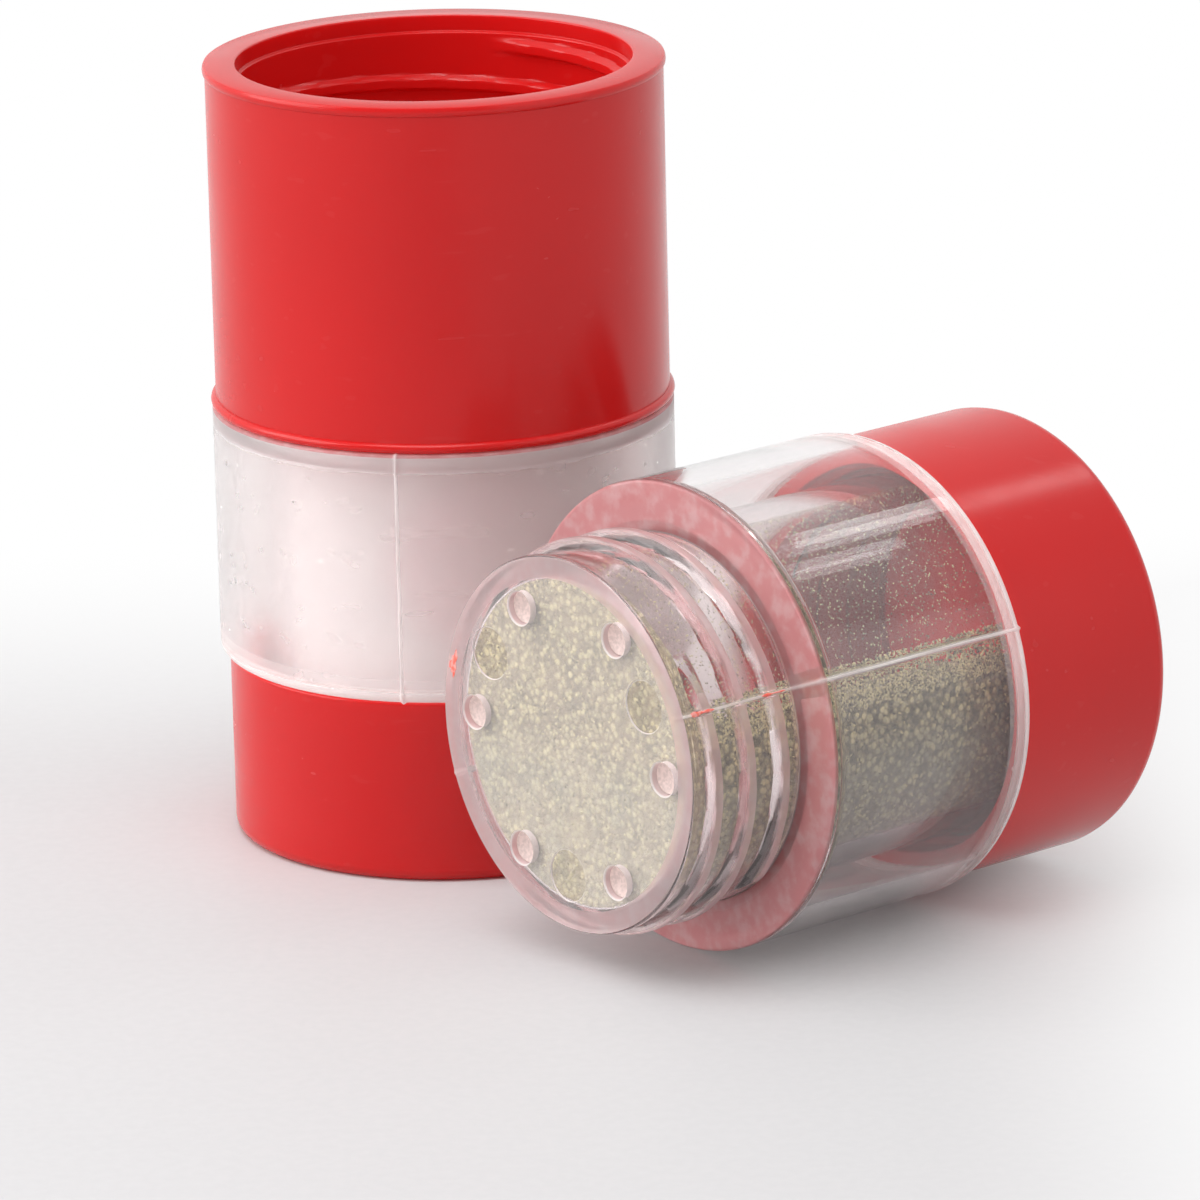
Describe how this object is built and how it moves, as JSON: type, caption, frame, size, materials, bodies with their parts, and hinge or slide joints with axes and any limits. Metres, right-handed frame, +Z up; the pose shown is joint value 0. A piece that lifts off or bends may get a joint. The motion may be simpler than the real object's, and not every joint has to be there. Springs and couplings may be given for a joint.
{
  "type": "salt and pepper shaker",
  "caption": "Travel salt and pepper shaker: clear threaded halves with sifter necks, screw caps, and a red coupling collar that closes both necks.",
  "frame": {"origin": "centre of the standing half's flat foot, on the table", "axes": "+Z up along the standing half and its collar; the pepper half lies on the table towards +X and -Y, its sifter face turned to -X and -Y; the picture looks along +Y"},
  "size_m": [0.0805, 0.0773, 0.0681],
  "materials": {
    "red_plastic": "gloss",
    "clear_plastic": "gloss",
    "red_seal": "matte",
    "salt": "matte",
    "pepper": "matte"
  },
  "bodies": {
    "foot": {"salt_base_cap": "red_plastic", "salt_cap_liner": "red_seal"},
    "salt_contents": {"salt_fill": "salt"},
    "salt_half": {"salt_body": "clear_plastic"},
    "seal_carrier": {"collar_lower_seal": "red_seal"},
    "collar": {"coupling_collar": "red_plastic", "collar_upper_seal": "red_seal"},
    "pepper_half": {"pepper_body": "clear_plastic", "pepper_fill": "pepper"},
    "liner_carrier": {"pepper_cap_liner": "red_seal"},
    "pepper_cap": {"pepper_end_cap": "red_plastic"}
  },
  "joints": [
    {"name": "salt_half_lift", "type": "slide", "parent": "foot", "child": "salt_contents", "axis": [0, 0, 1], "range_m": [0, 0.0109]},
    {"name": "salt_half_turn", "type": "hinge", "parent": "salt_contents", "child": "salt_half", "pos_m": [0, 0, 0], "axis": [0, 0, 1], "range_deg": [0, 1080]},
    {"name": "collar_lift", "type": "slide", "parent": "salt_half", "child": "seal_carrier", "axis": [0, 0, 1], "range_m": [0, 0.0109]},
    {"name": "collar_turn", "type": "hinge", "parent": "seal_carrier", "child": "collar", "pos_m": [0, 0, 0.0499], "axis": [0, 0, 1], "range_deg": [0, 1080]},
    {"name": "pepper_half_aside", "type": "slide", "parent": "foot", "child": "pepper_half", "axis": [0.6402, -0.7682, 0], "range_m": [0, 0.06]},
    {"name": "pepper_cap_travel", "type": "slide", "parent": "pepper_half", "child": "liner_carrier", "axis": [0.7682, 0.6402, 0], "range_m": [0, 0.0109]},
    {"name": "pepper_cap_turn", "type": "hinge", "parent": "liner_carrier", "child": "pepper_cap", "pos_m": [0.0485, -0.01309, 0.02], "axis": [0.7682, 0.6402, 0], "range_deg": [0, 1080]}
  ],
  "couplings": [
    {"joint": "salt_half_lift", "follows": "salt_half_turn", "m_per_rad": 0.00057296},
    {"joint": "collar_lift", "follows": "collar_turn", "m_per_rad": 0.00057296},
    {"joint": "pepper_cap_travel", "follows": "pepper_cap_turn", "m_per_rad": 0.00057296}
  ]
}
